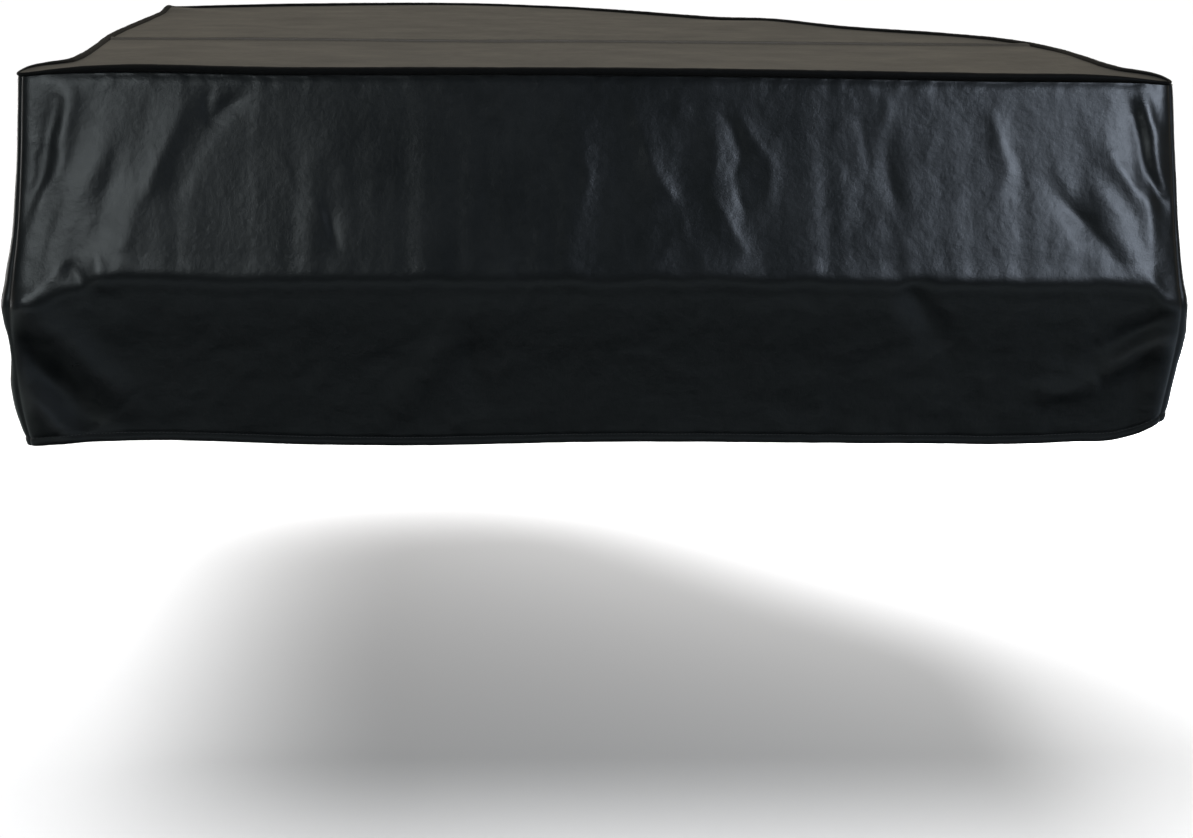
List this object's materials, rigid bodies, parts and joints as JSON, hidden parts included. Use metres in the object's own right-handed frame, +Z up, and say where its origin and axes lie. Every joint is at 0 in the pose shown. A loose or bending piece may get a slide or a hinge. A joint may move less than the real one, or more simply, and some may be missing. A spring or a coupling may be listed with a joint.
{
  "type": "fitted grand piano cover",
  "caption": "Fitted cover of black leather-look vinyl cloth for a grand piano, with a flat top, a piped top edge and deep hanging sides.",
  "frame": {"origin": "on the underside of the top panel, at mid width, 800 mm behind the front top edge", "axes": "+Z up, -Y towards the front with the keyboard, +X towards the right seen from the front"},
  "size_m": [1.5467, 1.8305, 0.5062],
  "materials": {
    "black_vinyl": "semi-gloss, fine leather-like grain",
    "black_piping": "semi-matt vinyl over a cord"
  },
  "bodies": {
    "root": {"top_front": "black_vinyl", "top_rear": "black_vinyl", "front_drop": "black_vinyl", "left_drop": "black_vinyl", "right_drop": "black_vinyl", "piping": "black_piping"}
  },
  "joints": []
}
